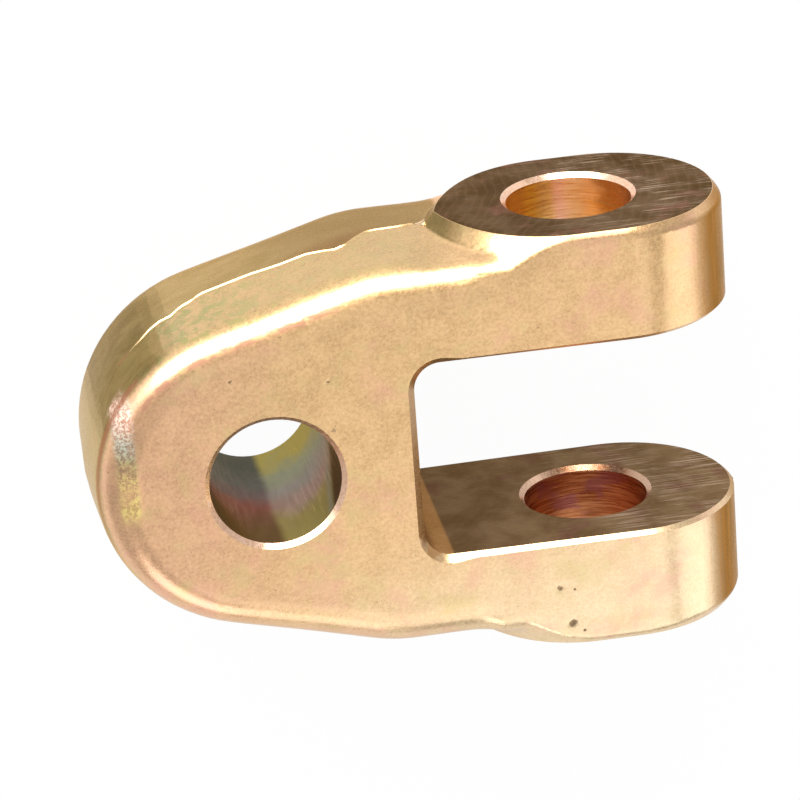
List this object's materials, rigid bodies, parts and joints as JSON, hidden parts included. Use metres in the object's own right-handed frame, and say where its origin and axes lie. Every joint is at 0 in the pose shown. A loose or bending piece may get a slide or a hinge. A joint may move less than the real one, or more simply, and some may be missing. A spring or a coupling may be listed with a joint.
{
  "type": "clevis rod end",
  "caption": "Forged clevis rod end: a fork with two bored ears, and a round nose with a bore at right angles to them.",
  "frame": {"origin": "on the axis of the two ear bores, halfway between the ears and halfway through the thickness", "axes": "+X from the nose to the open end of the fork, +Y along the ear bores, +Z along the cross bore; the piece lies on its back face"},
  "size_m": [0.1026, 0.068, 0.0364],
  "materials": {
    "yellow_zinc": "yellow zinc plate over blasted, forged skin, brighter and darker where milled and bored"
  },
  "bodies": {
    "root": {"clevis": "yellow_zinc"}
  },
  "joints": []
}
